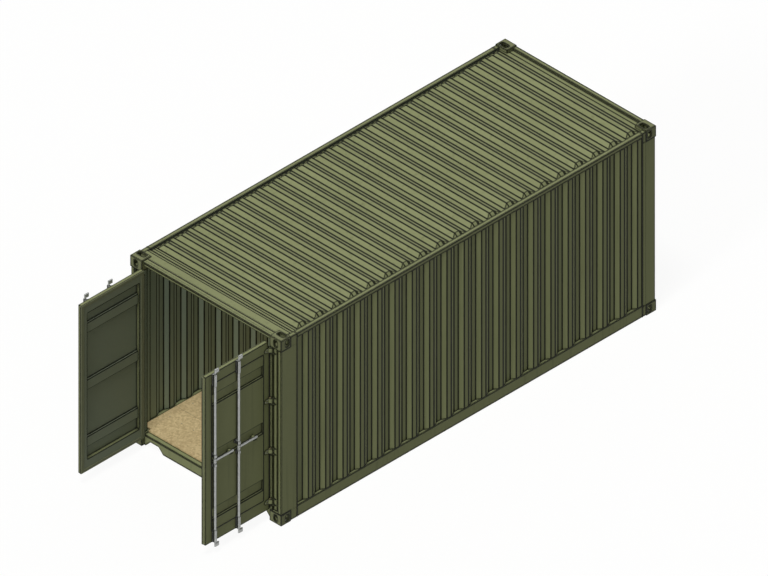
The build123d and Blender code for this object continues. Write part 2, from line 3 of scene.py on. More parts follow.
import bpy
import numpy as np
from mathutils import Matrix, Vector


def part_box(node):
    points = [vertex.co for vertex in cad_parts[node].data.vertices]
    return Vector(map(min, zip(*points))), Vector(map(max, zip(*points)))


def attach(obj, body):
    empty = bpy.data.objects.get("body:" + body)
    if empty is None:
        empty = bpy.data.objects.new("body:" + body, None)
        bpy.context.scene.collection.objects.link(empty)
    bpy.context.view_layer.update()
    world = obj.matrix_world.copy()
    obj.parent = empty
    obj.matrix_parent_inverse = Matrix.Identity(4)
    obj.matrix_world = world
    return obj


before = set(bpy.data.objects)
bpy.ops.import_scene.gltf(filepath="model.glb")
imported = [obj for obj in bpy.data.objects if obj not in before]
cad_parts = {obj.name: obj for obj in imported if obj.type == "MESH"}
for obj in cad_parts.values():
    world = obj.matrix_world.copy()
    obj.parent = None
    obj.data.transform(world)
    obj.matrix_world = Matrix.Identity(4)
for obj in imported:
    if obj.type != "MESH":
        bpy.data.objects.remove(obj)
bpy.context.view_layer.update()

# Camera and the pale ground under the container.
# The picture is an isometric drawing, so the camera has no perspective: it looks down
# at 35.26 degrees from the near right corner of the door end.

VIEW_WIDTH = 8.773
VIEW_TARGET = (0.0, -0.1476, 1.2924)
VIEW_DISTANCE = 20.0
VIEW_AZIMUTH = math.radians(45.0)
VIEW_ELEVATION = math.atan(1 / math.sqrt(2))

camera_data = bpy.data.cameras.new("drawing_camera")
camera_data.type = "ORTHO"
camera_data.ortho_scale = VIEW_WIDTH
camera_data.clip_end = 200.0
camera = bpy.data.objects.new("drawing_camera", camera_data)
bpy.context.scene.collection.objects.link(camera)
camera.location = (
    VIEW_TARGET[0] + VIEW_DISTANCE * math.cos(VIEW_ELEVATION) * math.sin(VIEW_AZIMUTH),
    VIEW_TARGET[1] - VIEW_DISTANCE * math.cos(VIEW_ELEVATION) * math.cos(VIEW_AZIMUTH),
    VIEW_TARGET[2] + VIEW_DISTANCE * math.sin(VIEW_ELEVATION),
)
camera.rotation_euler = (math.pi / 2 - VIEW_ELEVATION, 0.0, VIEW_AZIMUTH)
bpy.context.scene.camera = camera
bpy.context.scene.view_settings.view_transform = "Standard"


def linear(hex_colour):
    """An sRGB hex colour as linear RGBA."""
    parts = [int(hex_colour[i:i + 2], 16) / 255 for i in (1, 3, 5)]
    return [c / 12.92 if c <= 0.04045 else ((c + 0.055) / 1.055) ** 2.4 for c in parts] + [1.0]


def add(tree, kind, values=None, links=None, **settings):
    """Add a node, set its attributes and socket values, and link sockets into it."""
    node = tree.nodes.new(kind)
    for name, value in settings.items():
        setattr(node, name, value)
    for socket, value in (values or {}).items():
        node.inputs[socket].default_value = value
    for socket, source in (links or {}).items():
        tree.links.new(source, node.inputs[socket])
    return node


def new_material(name):
    """An empty node material and its output node."""
    material = bpy.data.materials.new(name)
    material.use_nodes = True
    material.node_tree.nodes.clear()
    return material, material.node_tree, material.node_tree.nodes.new("ShaderNodeOutputMaterial")


GROUND_HALF = 60.0
CARD = "#fafaf8"
CARD_GLOW = 1.05
GLOW_SHARE = 0.78
GROUND_GREY = "#8f8f8d"
ground_mesh = bpy.data.meshes.new("ground")
ground_mesh.from_pydata(
    [(-GROUND_HALF, -GROUND_HALF, 0), (GROUND_HALF, -GROUND_HALF, 0),
     (GROUND_HALF, GROUND_HALF, 0), (-GROUND_HALF, GROUND_HALF, 0)], [], [(0, 1, 2, 3)])
ground = bpy.data.objects.new("ground", ground_mesh)
bpy.context.scene.collection.objects.link(ground)

# To the camera the ground is nearly white card that still takes a soft shadow, and to the
# container it is a mid grey, so that it doesn't light the sides from below.
ground_paint, tree, output = new_material("white_card")
path = add(tree, "ShaderNodeLightPath")
seen = add(tree, "ShaderNodeMath", links={0: path.outputs["Is Camera Ray"],
                                          1: path.outputs["Is Glossy Ray"]}, operation="MAXIMUM")
card = add(tree, "ShaderNodeBsdfDiffuse", {"Color": linear(CARD)})
glow = add(tree, "ShaderNodeEmission", {"Color": (1, 1, 1, 1), "Strength": CARD_GLOW})
bright = add(tree, "ShaderNodeMixShader", {0: GLOW_SHARE}, {1: card.outputs[0], 2: glow.outputs[0]})
grey = add(tree, "ShaderNodeBsdfDiffuse", {"Color": linear(GROUND_GREY)})
mixed = add(tree, "ShaderNodeMixShader", None,
            {0: seen.outputs[0], 1: grey.outputs[0], 2: bright.outputs[0]})
tree.links.new(mixed.outputs[0], output.inputs["Surface"])
ground_mesh.materials.append(ground_paint)

# Studio light: a dim even surround, and lamps far off. As in the drawing, faces that look up
# are brightest, the door end is next and the long right side is darkest.

SURROUND_LEVEL = 0.145
LAMP_SPREAD = math.radians(12.0)
world = bpy.data.worlds.new("studio")
bpy.context.scene.world = world
world.use_nodes = True
tree = world.node_tree
tree.nodes.clear()
path = add(tree, "ShaderNodeLightPath")
seen = add(tree, "ShaderNodeMath", links={0: path.outputs["Is Camera Ray"],
                                          1: path.outputs["Is Glossy Ray"]}, operation="MAXIMUM")
through = add(tree, "ShaderNodeMath", links={0: seen.outputs[0],
                                             1: path.outputs["Is Transmission Ray"]},
              operation="MAXIMUM")
dim = add(tree, "ShaderNodeBackground", {"Color": (1, 1, 1, 1), "Strength": SURROUND_LEVEL})
white = add(tree, "ShaderNodeBackground", {"Color": (1, 1, 1, 1), "Strength": 1.0})
mixed = add(tree, "ShaderNodeMixShader", None,
            {0: through.outputs[0], 1: dim.outputs[0], 2: white.outputs[0]})
world_output = tree.nodes.new("ShaderNodeOutputWorld")
tree.links.new(mixed.outputs[0], world_output.inputs["Surface"])


def sun(name, azimuth, elevation, level, casts):
    """A distant lamp: level 1 lights a face square to it at the colour's written value."""
    lamp = bpy.data.lights.new(name, "SUN")
    lamp.energy = level * math.pi
    lamp.angle = LAMP_SPREAD
    lamp.cycles.cast_shadow = casts
    lamp.use_shadow = casts
    rig = bpy.data.objects.new(name, lamp)
    rig.rotation_euler = (math.pi / 2 - math.radians(elevation), 0.0, math.radians(azimuth))
    bpy.context.scene.collection.objects.link(rig)


sun("overhead_soft", 0.0, 90.0, 0.42, False)
sun("overhead_key", 20.0, 70.0, 0.17, True)
sun("door_end_soft", 0.0, 0.0, 0.22, False)
sun("door_end_key", 10.0, 28.0, 0.14, True)
sun("right_side_soft", 90.0, 0.0, 0.015, False)
sun("front_end_soft", 180.0, 10.0, 0.12, False)
sun("left_side_soft", 270.0, 10.0, 0.12, False)

# Paint on the shell: folded steel sheet, primed and sprayed with a satin olive topcoat.
# It shows a faint orange peel, slow changes of tone and thin rain streaks. A dark line of
# painted shade runs along every fold and edge, and painted shade darkens the crevices and the
# places where parts stand close.

PAINT = "#8a8f66"
PAINT_PALE = "#93986f"
PAINT_DEEP = "#7f845c"
GRIME_AND_SHADE = "#101307"
# Real orange peel is 1 to 3 mm wide, and it is drawn at 6 mm, so that it shows.
ORANGE_PEEL = 0.006
TONE_PATCH = 0.9
TONE_RANGE = (0.3, 0.7)
STREAK_WIDTH = 0.05
STREAK_LENGTH = 1.6
STREAK_RANGE = (0.55, 0.8)
# Half widths of the painted shade lines at the folds, then the painted shade along edges and in
# crevices.
FOLD_SHADE_WIDTH = 0.0115
SHADED_SLOPE_WIDTH = 0.0205
FOLD_CORE = 0.75
FOLD_LEVEL = 0.95
EDGE_REACH = 0.026
EDGE_LEVEL = 0.94
EDGE_SAMPLES = 8
CREVICE_REACH = 0.035
CREVICE_OPENNESS = (0.85, 0.45)
CREVICE_LEVEL = 0.88
CREVICE_SAMPLES = 6
TONE_SHARE = 0.45
STREAK_LEVEL = 0.22
PEEL_STRENGTH = 0.12
PEEL_HEIGHT = 0.0008
SATIN = (0.5, 0.64)
SATIN_SHEEN = 0.14
PAINT_IOR = 1.45
# The inner faces carry a greyer coat, tinted cool to offset the warm light that the plywood floor
# bounces onto them: a painted correction of light.
INSIDE_COAT_AGAINST_BOUNCE = "#8b9885"


# Painted shade: dark lines where the surface turns, and darkening in crevices and where parts stand
# close.
def edge_and_crevice_shaded(tree, colour, reach, turns=(0.9990, 0.9945), crevice=CREVICE_REACH):
    """The colour, darkened as painted shade where the surface turns within reach of the point
    and in corners with less room than crevice. turns holds the cosines of the turn at which the
    painted shade begins and is full."""
    rounded = add(tree, "ShaderNodeBevel", {"Radius": reach}, samples=EDGE_SAMPLES)
    square = add(tree, "ShaderNodeNewGeometry").outputs["True Normal"]
    turned = add(tree, "ShaderNodeVectorMath", None, {0: rounded.outputs[0], 1: square},
                 operation="DOT_PRODUCT")
    rim = add(tree, "ShaderNodeMapRange", {1: turns[0], 2: turns[1], 3: 0.0, 4: EDGE_LEVEL},
              {0: turned.outputs["Value"]})
    openness = add(tree, "ShaderNodeAmbientOcclusion", {"Distance": crevice},
                   samples=CREVICE_SAMPLES)
    crevice_shade = add(tree, "ShaderNodeMapRange",
                 {1: CREVICE_OPENNESS[0], 2: CREVICE_OPENNESS[1], 3: 0.0, 4: CREVICE_LEVEL},
                 {0: openness.outputs["AO"]})
    # The painted shade is the darker of the edge lines and the crevice darkening.
    painted_shade = add(tree, "ShaderNodeMath", None, {0: rim.outputs[0], 1: crevice_shade.outputs[0]},
               operation="MAXIMUM")
    return add(tree, "ShaderNodeMix", {7: linear(GRIME_AND_SHADE)}, {0: painted_shade.outputs[0], 6: colour},
               data_type="RGBA").outputs[2]


def fold_lines(tree, place, folds):
    """How much painted shade lies at a place because of the folds. folds is (axis, first fold,
    pitch, lines), with the offset and half width of each line in the pitch. The distance from a
    line is taken round the pitch, whichever way is shorter, and nothing lies before the first."""
    axis, first, pitch, lines = folds
    along = add(tree, "ShaderNodeSeparateXYZ", None, {0: place}).outputs["XYZ".index(axis)]
    from_first = add(tree, "ShaderNodeMath", {1: first}, {0: along}, operation="SUBTRACT")
    step = add(tree, "ShaderNodeMath", {1: pitch}, {0: from_first.outputs[0]},
               operation="DIVIDE")
    within = add(tree, "ShaderNodeMath", None, {0: step.outputs[0]}, operation="FRACT")
    line = None
    for offset, half_width in lines:
        away = add(tree, "ShaderNodeMath", {1: offset / pitch}, {0: within.outputs[0]},
                   operation="SUBTRACT")
        gap = add(tree, "ShaderNodeMath", None, {0: away.outputs[0]}, operation="ABSOLUTE")
        back = add(tree, "ShaderNodeMath", {0: 1.0}, {1: gap.outputs[0]}, operation="SUBTRACT")
        near = add(tree, "ShaderNodeMath", None, {0: gap.outputs[0], 1: back.outputs[0]},
                   operation="MINIMUM")
        pulse = add(tree, "ShaderNodeMapRange",
                    {1: FOLD_CORE * half_width / pitch, 2: half_width / pitch,
                     3: 1.0, 4: 0.0}, {0: near.outputs[0]}, interpolation_type="SMOOTHSTEP")
        line = pulse if line is None else add(
            tree, "ShaderNodeMath", None, {0: line.outputs[0], 1: pulse.outputs[0]},
            operation="MAXIMUM")
    started = add(tree, "ShaderNodeMath", {1: -SHADED_SLOPE_WIDTH}, {0: from_first.outputs[0]},
                  operation="GREATER_THAN")
    kept = add(tree, "ShaderNodeMath", None, {0: line.outputs[0], 1: started.outputs[0]},
               operation="MULTIPLY")
    return add(tree, "ShaderNodeMath", {1: FOLD_LEVEL}, {0: kept.outputs[0]},
               operation="MULTIPLY").outputs[0]


def coated_steel(name, folds=None, paint=PAINT, pale=PAINT_PALE, deep=PAINT_DEEP,
                 reach=EDGE_REACH, crevice=CREVICE_REACH, inside=None):
    """Painted steel, with painted shade lines along the folds that fold_lines takes. reach is how
    far from an edge painted shade is found, and inside is the greyer coat of the faces that look
    in at the cargo, tinted cool to offset the warm light that the floor bounces onto them, a
    painted correction of light: there the normal points against the place."""
    material, tree, output = new_material(name)
    place = add(tree, "ShaderNodeTexCoord").outputs["Object"]
    patches = add(tree, "ShaderNodeTexNoise", {"Scale": 1 / TONE_PATCH, "Detail": 4.0,
                                               "Roughness": 0.6}, {"Vector": place})
    tone = add(tree, "ShaderNodeValToRGB", None, {0: patches.outputs[0]})
    tone.color_ramp.elements[0].position = TONE_RANGE[0]
    tone.color_ramp.elements[0].color = linear(deep)
    tone.color_ramp.elements[1].position = TONE_RANGE[1]
    tone.color_ramp.elements[1].color = linear(pale)
    body = add(tree, "ShaderNodeMix", {0: TONE_SHARE, 6: linear(paint)}, {7: tone.outputs[0]},
               data_type="RGBA")
    stretch = add(tree, "ShaderNodeMapping",
                  {"Scale": (1 / STREAK_WIDTH, 1 / STREAK_WIDTH, 1 / STREAK_LENGTH)},
                  {"Vector": place})
    streaks = add(tree, "ShaderNodeTexNoise", {"Scale": 1.0, "Detail": 3.0},
                  {"Vector": stretch.outputs[0]})
    streak_level = add(tree, "ShaderNodeMapRange",
                       {1: STREAK_RANGE[0], 2: STREAK_RANGE[1], 3: 0.0, 4: STREAK_LEVEL},
                       {0: streaks.outputs[0]})
    streaked = add(tree, "ShaderNodeMix", {7: linear(GRIME_AND_SHADE)},
                   {0: streak_level.outputs[0], 6: body.outputs[2]}, data_type="RGBA")
    colour = streaked.outputs[2]
    # Inner faces take the cooler inside coat, a painted correction of the floor's warm bounce
    # light.
    if inside:
        facing = add(tree, "ShaderNodeTexCoord").outputs["Normal"]
        outward = add(tree, "ShaderNodeVectorMath", None, {0: place, 1: facing},
                      operation="MULTIPLY")
        across = add(tree, "ShaderNodeSeparateXYZ", None, {0: outward.outputs[0]}).outputs["X"]
        inward = add(tree, "ShaderNodeMath", {1: 0.0}, {0: across}, operation="LESS_THAN")
        colour = add(tree, "ShaderNodeMix", {7: linear(inside)},
                     {0: inward.outputs[0], 6: colour}, data_type="RGBA").outputs[2]
    # Painted shade lines along the folds.
    if folds:
        colour = add(tree, "ShaderNodeMix", {7: linear(GRIME_AND_SHADE)},
                     {0: fold_lines(tree, place, folds), 6: colour},
                     data_type="RGBA").outputs[2]
    # Painted shade along edges and in crevices.
    colour = edge_and_crevice_shaded(tree, colour, reach, crevice=crevice)
    peel = add(tree, "ShaderNodeTexNoise", {"Scale": 1 / ORANGE_PEEL, "Detail": 2.0},
               {"Vector": place})
    relief = add(tree, "ShaderNodeBump", {"Strength": PEEL_STRENGTH, "Distance": PEEL_HEIGHT},
                 {"Height": peel.outputs[0]})
    gloss = add(tree, "ShaderNodeMapRange",
                {1: TONE_RANGE[0], 2: TONE_RANGE[1], 3: SATIN[0], 4: SATIN[1]},
                {0: patches.outputs[0]})
    shader = add(tree, "ShaderNodeBsdfPrincipled",
                 {"IOR": PAINT_IOR, "Specular IOR Level": SATIN_SHEEN},
                 {"Base Color": colour, "Roughness": gloss.outputs[0],
                  "Normal": relief.outputs[0]})
    tree.links.new(shader.outputs[0], output.inputs["Surface"])
    return material


def dress(material, *names):
    """Give CAD nodes a material in place of the plain one that they came with."""
    for name in names:
        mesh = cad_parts[name].data
        mesh.materials.clear()
        mesh.materials.append(material)


# Side walls: 2 mm steel sheet with twenty upright trapezoid ribs pressed in it, welded between
# the posts and rails. On the right wall, the two folds of the shaded slope behind each crest
# carry wider painted shade lines.

SIDE_FIRST_FOLD = -2.645
SIDE_RIB_COUNT = 20
SIDE_SLOPE = 0.068
SIDE_FLAT = 0.072
WALL_EDGE_REACH = 0.012


def corners(name):
    """The lowest and the highest corner of a CAD node, as plain numbers."""
    return [list(map(float, corner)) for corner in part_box(name)]


wall_low, wall_high = corners("right_side_wall")
SIDE_PITCH = (wall_high[1] - SIDE_FIRST_FOLD - SIDE_SLOPE - SIDE_FLAT) / (SIDE_RIB_COUNT - 1)
# Painted shade lines: wider at the two folds of the slope that faces away from the light.
rib_folds = ((0.0, FOLD_SHADE_WIDTH), (SIDE_SLOPE, FOLD_SHADE_WIDTH),
             (SIDE_SLOPE + SIDE_FLAT, SHADED_SLOPE_WIDTH),
             (2 * SIDE_SLOPE + SIDE_FLAT, SHADED_SLOPE_WIDTH))
even_folds = [(offset, FOLD_SHADE_WIDTH) for offset, half_width in rib_folds]
dress(coated_steel("olive_topcoat_on_right_wall",
                   ("Y", SIDE_FIRST_FOLD, SIDE_PITCH, rib_folds), reach=WALL_EDGE_REACH,
                   inside=INSIDE_COAT_AGAINST_BOUNCE),
      "right_side_wall")
dress(coated_steel("olive_topcoat_on_left_wall",
                   ("Y", SIDE_FIRST_FOLD, SIDE_PITCH, even_folds), reach=WALL_EDGE_REACH,
                   inside=INSIDE_COAT_AGAINST_BOUNCE),
      "left_side_wall")

# Roof: 2 mm steel sheet with the same trapezoid ribs across the container. The ribs are
# pressed, end before the top rails, and the sheet is welded to the rails and the header.

ROOF_FIRST_FOLD = -2.679
ROOF_PITCH = 0.2794
ROOF_EDGE_REACH = 0.016
# The same painted shade lines as on the right wall, wider on the slope that faces away from the
# light.
dress(coated_steel("olive_topcoat_on_roof", ("Y", ROOF_FIRST_FOLD, ROOF_PITCH, rib_folds),
                   reach=ROOF_EDGE_REACH),
      "roof")

# Front wall: steel sheet with deeper upright ribs, pressed and welded between the front
# posts. It is hidden from the drawing's side.

FRONT_FIRST_FOLD = -0.99925
FRONT_PITCH = 0.2635
FRONT_SLOPE = 0.022
FRONT_FLAT = 0.110
front_folds = [(offset, FOLD_SHADE_WIDTH) for offset in (
    0.0, FRONT_SLOPE, FRONT_SLOPE + FRONT_FLAT, 2 * FRONT_SLOPE + FRONT_FLAT)]
dress(coated_steel("olive_topcoat_on_front_wall",
                   ("X", FRONT_FIRST_FOLD, FRONT_PITCH, front_folds),
                   reach=WALL_EDGE_REACH),
      "front_wall")

# Frame: posts, rails and sill in thicker steel, folded in a press and welded end to end,
# with the hinge lugs welded on. The whole frame is sprayed in the same coat.

dress(coated_steel("olive_topcoat_on_frame", inside=INSIDE_COAT_AGAINST_BOUNCE),
      "left_door_post", "right_door_post", "left_front_post", "right_front_post",
      "left_bottom_side_rail", "right_bottom_side_rail", "left_top_side_rail",
      "right_top_side_rail", "door_sill", "front_top_rail",
      "front_bottom_rail", "left_hinge_lugs", "right_hinge_lugs")

# Header: a pressed beam over the doors, with a cover plate welded on that bends down to the
# roof. A painted shade line lies along the bend, one line in a pitch that is longer than the beam.

HEADER_BEND = -2.815
HEADER_PITCH = 9.0
HEADER_LEAD = 1.0
HEADER_EDGE_REACH = 0.018
HEADER_CREVICE = 0.015
dress(coated_steel("olive_topcoat_on_header",
                   ("Y", HEADER_BEND - HEADER_LEAD, HEADER_PITCH, [(HEADER_LEAD, FOLD_SHADE_WIDTH)]),
                   reach=HEADER_EDGE_REACH, crevice=HEADER_CREVICE),
      "door_header")

# Castings: cast steel blocks with hollow insides, welded to the posts and rails at the eight
# corners. They are rougher under the paint, and a shade deeper than the sheets.

CASTING_PAINT = "#7f8360"
CASTING_PALE = "#888c69"
CASTING_DEEP = "#73774f"
CASTING_EDGE_REACH = 0.028
CASTING_CREVICE = 0.010
dress(coated_steel("olive_topcoat_on_castings", paint=CASTING_PAINT, pale=CASTING_PALE,
                   deep=CASTING_DEEP, reach=CASTING_EDGE_REACH, crevice=CASTING_CREVICE),
      "top_castings_door_end", "top_castings_front_end", "bottom_castings_door_end",
      "bottom_castings_front_end")

# Cross members: folded steel channels welded between the bottom rails, under the floor. They
# are sprayed with a bituminous underseal, nearly black.

BITUMEN = "#2f302b"
BITUMEN_PALE = "#383933"
BITUMEN_DEEP = "#272823"
dress(coated_steel("bitumen_underseal", paint=BITUMEN, pale=BITUMEN_PALE, deep=BITUMEN_DEEP),
      "cross_members")

# Door leaves: a frame of square steel tube, welded round a sheet with three pressed level
# ribs, on each side. Hinge blades and handle rests are welded on and painted with the leaf.

DOOR_MIDDLE = 1.3345
# Inner faces of the doors: a greyer coat, tinted cool to offset the warm light bounced from the
# floor, a painted correction of light.
DOOR_INSIDE_AGAINST_BOUNCE = "#868e77"
DOOR_RIB_SPACING = 0.796
DOOR_RIB_SLOPE = 0.013
DOOR_RIB_FLAT = 0.132
DOOR_EDGE_REACH = 0.022
DOOR_CREVICE = 0.10
PANEL_EDGE_REACH = 0.010
FITTING_EDGE_REACH = 0.012
VALLEY_SHADE_WIDTH = 0.007
CREST_SHADE_WIDTH = 0.006
door_rib = 2 * DOOR_RIB_SLOPE + DOOR_RIB_FLAT
# Painted shade lines along the folds of the pressed ribs.
door_folds = ((0.0, VALLEY_SHADE_WIDTH), (DOOR_RIB_SLOPE, CREST_SHADE_WIDTH),
              (DOOR_RIB_SLOPE + DOOR_RIB_FLAT, CREST_SHADE_WIDTH), (door_rib, VALLEY_SHADE_WIDTH))
door_first = DOOR_MIDDLE - DOOR_RIB_SPACING - door_rib / 2
dress(coated_steel("olive_topcoat_on_door_panel",
                   ("Z", door_first, DOOR_RIB_SPACING, door_folds),
                   reach=PANEL_EDGE_REACH, inside=DOOR_INSIDE_AGAINST_BOUNCE),
      "left_door_panel", "right_door_panel")
door_paint = coated_steel("olive_topcoat_on_door", reach=DOOR_EDGE_REACH,
                          crevice=DOOR_CREVICE, inside=DOOR_INSIDE_AGAINST_BOUNCE)
fitting_paint = coated_steel("olive_topcoat_on_door_fittings", reach=FITTING_EDGE_REACH)
for side in ("left", "right"):
    dress(door_paint, side + "_door_frame")
    dress(fitting_paint, side + "_hinge_blades", side + "_handle_rests")

# Gaskets: an extruded rubber strip round the back of each leaf, fixed before the doors were
# sprayed, so it carries the olive coat. It is matt, and cracked dark where the coat has split.
# Dust lies in patches of about 70 mm, and the splits are about 11 mm apart.

SPRAYED_COAT = "#7c8060"
DUSTY_COAT = "#6c7053"
BARE_RUBBER = "#1b1b1a"
DUST_PER_METRE = 14.0
SPLITS_PER_METRE = 90.0
SPLIT_RANGE = (0.66, 0.72)
SPLIT_LEVEL = 0.7
RUBBER_ROUGHNESS = 0.78
RUBBER_IOR = 1.52
gasket_rubber, tree, output = new_material("sprayed_door_rubber")
place = add(tree, "ShaderNodeTexCoord").outputs["Object"]
dust = add(tree, "ShaderNodeTexNoise", {"Scale": DUST_PER_METRE, "Detail": 4.0},
           {"Vector": place})
coat = add(tree, "ShaderNodeMix", {6: linear(SPRAYED_COAT), 7: linear(DUSTY_COAT)},
           {0: dust.outputs[0]}, data_type="RGBA")
splits = add(tree, "ShaderNodeTexNoise", {"Scale": SPLITS_PER_METRE, "Detail": 2.0},
             {"Vector": place})
split_level = add(tree, "ShaderNodeMapRange",
                  {1: SPLIT_RANGE[0], 2: SPLIT_RANGE[1], 3: 0.0, 4: SPLIT_LEVEL},
                  {0: splits.outputs[0]})
cracked = add(tree, "ShaderNodeMix", {7: linear(BARE_RUBBER)},
              {0: split_level.outputs[0], 6: coat.outputs[2]}, data_type="RGBA")
shader = add(tree, "ShaderNodeBsdfPrincipled", {"Roughness": RUBBER_ROUGHNESS, "IOR": RUBBER_IOR},
             {"Base Color": cracked.outputs[2]})
tree.links.new(shader.outputs[0], output.inputs["Surface"])
dress(gasket_rubber, "left_door_gasket", "right_door_gasket")

# Lock rods, guides and handles: hot-dip galvanised steel, dull silver with faint spangle.
# The rods are tubes, with their cams welded on, and turn in guides bolted to the leaf.

SPANGLE = 0.018
SPANGLE_DARK = "#a8aaa7"
SPANGLE_PALE = "#c0c2bf"
ZINC_METALLIC = 0.55
ZINC_ROUGHNESS = (0.4, 0.55)
# The turns at which the painted shade on the flanks begins and is full, and its level.
FLANK_TURNS = (0.78, 0.94)
FLANK_SHADE = 0.9
ROUND_TURNS = (0.965, 0.93)
ROD_EDGE_REACH = 0.010
GUIDE_EDGE_REACH = 0.008


def galvanised(name, flank, reach):
    """Zinc-coated steel. The faces that look along the flank direction and back are darkened as
    painted shade, and painted shade lies along the edges within reach."""
    material, tree, output = new_material(name)
    place = add(tree, "ShaderNodeTexCoord")
    crystals = add(tree, "ShaderNodeTexVoronoi", {"Scale": 1 / SPANGLE},
                   {"Vector": place.outputs["Object"]})
    grey_mix = add(tree, "ShaderNodeMix", {6: linear(SPANGLE_DARK), 7: linear(SPANGLE_PALE)},
                   {0: crystals.outputs["Color"]}, data_type="RGBA")
    # Painted shade on the faces that look along the flank direction and back.
    along = add(tree, "ShaderNodeVectorMath", {1: flank}, {0: place.outputs["Normal"]},
                operation="DOT_PRODUCT")
    square = add(tree, "ShaderNodeMath", None, {0: along.outputs["Value"]},
                 operation="ABSOLUTE")
    flank_shade = add(tree, "ShaderNodeMapRange",
                {1: FLANK_TURNS[0], 2: FLANK_TURNS[1], 3: 0.0, 4: FLANK_SHADE},
                {0: square.outputs[0]})
    flank_shaded = add(tree, "ShaderNodeMix", {7: linear(GRIME_AND_SHADE)},
                {0: flank_shade.outputs[0], 6: grey_mix.outputs[2]}, data_type="RGBA")
    colour = edge_and_crevice_shaded(tree, flank_shaded.outputs[2], reach, ROUND_TURNS)
    crystal_gloss = add(tree, "ShaderNodeMapRange",
                        {1: 0.0, 2: 1.0, 3: ZINC_ROUGHNESS[0], 4: ZINC_ROUGHNESS[1]},
                        {0: crystals.outputs["Color"]})
    shader = add(tree, "ShaderNodeBsdfPrincipled", {"Metallic": ZINC_METALLIC},
                 {"Base Color": colour, "Roughness": crystal_gloss.outputs[0]})
    tree.links.new(shader.outputs[0], output.inputs["Surface"])
    return material


# Rods are painted darker on the faces that look along (1, 1, 0) and back, and guides on the faces
# that look along Y and back; both are painted shade.
rod_zinc = galvanised("hot_dip_galvanised_steel", (math.sqrt(0.5), math.sqrt(0.5), 0.0),
                      ROD_EDGE_REACH)
guide_zinc = galvanised("galvanised_guide_blocks", (0.0, 1.0, 0.0), GUIDE_EDGE_REACH)
for side in ("left", "right"):
    dress(guide_zinc, side + "_rod_guides")
    for rod in ("inner", "outer"):
        dress(rod_zinc, f"{side}_{rod}_lock_rod", f"{side}_{rod}_handle")

# Floor: 28 mm plywood boards with a face of pressed flakes, pale and lightly oiled. Boards
# meet across the container over the cross members, with a dark joint between them. Fibres
# are drawn about 6 by 42 mm, coarser than real ones, so that they show.

FLAKE = 0.022
FLAKE_SQUASH = (1.0, 1.0, 0.1)
FLAKE_RANGE = (0.1, 0.9)
FLAKE_DARK = "#bda678"
FLAKE_PALE = "#dbc594"
FIBRE = "#9c835a"
TRODDEN = "#a48d62"
JOINT_SHADE = "#2c2416"
FIBRES_PER_METRE = (180.0, 24.0, 24.0)
FIBRE_RANGE = (0.35, 0.7)
FIBRE_LEVEL = 0.25
FIBRE_STRENGTH = 0.25
FIBRE_HEIGHT = 0.001
WORN_PER_METRE = 1.8
WORN_RANGE = (0.45, 0.75)
WORN_LEVEL = 0.35
BOARD_LENGTH = 1.176
JOINT_HALF_WIDTH = 0.0025
JOINT_LEVEL = 0.8
OILED_ROUGHNESS = 0.62
WOOD_IOR = 1.5
plywood, tree, output = new_material("flake_faced_plywood")
place = add(tree, "ShaderNodeTexCoord").outputs["Object"]
flake_space = add(tree, "ShaderNodeMapping", {"Scale": FLAKE_SQUASH}, {"Vector": place})
flakes = add(tree, "ShaderNodeTexVoronoi", {"Scale": 1 / FLAKE, "Randomness": 1.0},
             {"Vector": flake_space.outputs[0]}, distance="CHEBYCHEV")
flake_tone = add(tree, "ShaderNodeSeparateColor", None, {0: flakes.outputs["Color"]})
wood = add(tree, "ShaderNodeValToRGB", None, {0: flake_tone.outputs[0]})
wood.color_ramp.elements[0].position = FLAKE_RANGE[0]
wood.color_ramp.elements[0].color = linear(FLAKE_DARK)
wood.color_ramp.elements[1].position = FLAKE_RANGE[1]
wood.color_ramp.elements[1].color = linear(FLAKE_PALE)
fibre_space = add(tree, "ShaderNodeMapping", {"Scale": FIBRES_PER_METRE}, {"Vector": place})
fibres = add(tree, "ShaderNodeTexNoise", {"Scale": 1.0, "Detail": 3.0},
             {"Vector": fibre_space.outputs[0]})
fibre_level = add(tree, "ShaderNodeMapRange",
                  {1: FIBRE_RANGE[0], 2: FIBRE_RANGE[1], 3: 0.0, 4: FIBRE_LEVEL},
                  {0: fibres.outputs[0]})
fibrous = add(tree, "ShaderNodeMix", {7: linear(FIBRE)},
              {0: fibre_level.outputs[0], 6: wood.outputs[0]}, data_type="RGBA")
worn = add(tree, "ShaderNodeTexNoise", {"Scale": WORN_PER_METRE, "Detail": 4.0},
           {"Vector": place})
worn_level = add(tree, "ShaderNodeMapRange",
                 {1: WORN_RANGE[0], 2: WORN_RANGE[1], 3: 0.0, 4: WORN_LEVEL},
                 {0: worn.outputs[0]})
trodden = add(tree, "ShaderNodeMix", {7: linear(TRODDEN)},
              {0: worn_level.outputs[0], 6: fibrous.outputs[2]}, data_type="RGBA")
length_way = add(tree, "ShaderNodeSeparateXYZ", None, {0: place}).outputs["Y"]
in_boards = add(tree, "ShaderNodeMath", {1: BOARD_LENGTH}, {0: length_way}, operation="PINGPONG")
joint = add(tree, "ShaderNodeMapRange",
            {1: JOINT_HALF_WIDTH / 2, 2: JOINT_HALF_WIDTH, 3: JOINT_LEVEL, 4: 0.0},
            {0: in_boards.outputs[0]})
jointed = add(tree, "ShaderNodeMix", {7: linear(JOINT_SHADE)},
              {0: joint.outputs[0], 6: trodden.outputs[2]}, data_type="RGBA")
relief = add(tree, "ShaderNodeBump", {"Strength": FIBRE_STRENGTH, "Distance": FIBRE_HEIGHT},
             {"Height": fibres.outputs[0]})
shader = add(tree, "ShaderNodeBsdfPrincipled", {"Roughness": OILED_ROUGHNESS, "IOR": WOOD_IOR},
             {"Base Color": jointed.outputs[2], "Normal": relief.outputs[0]})
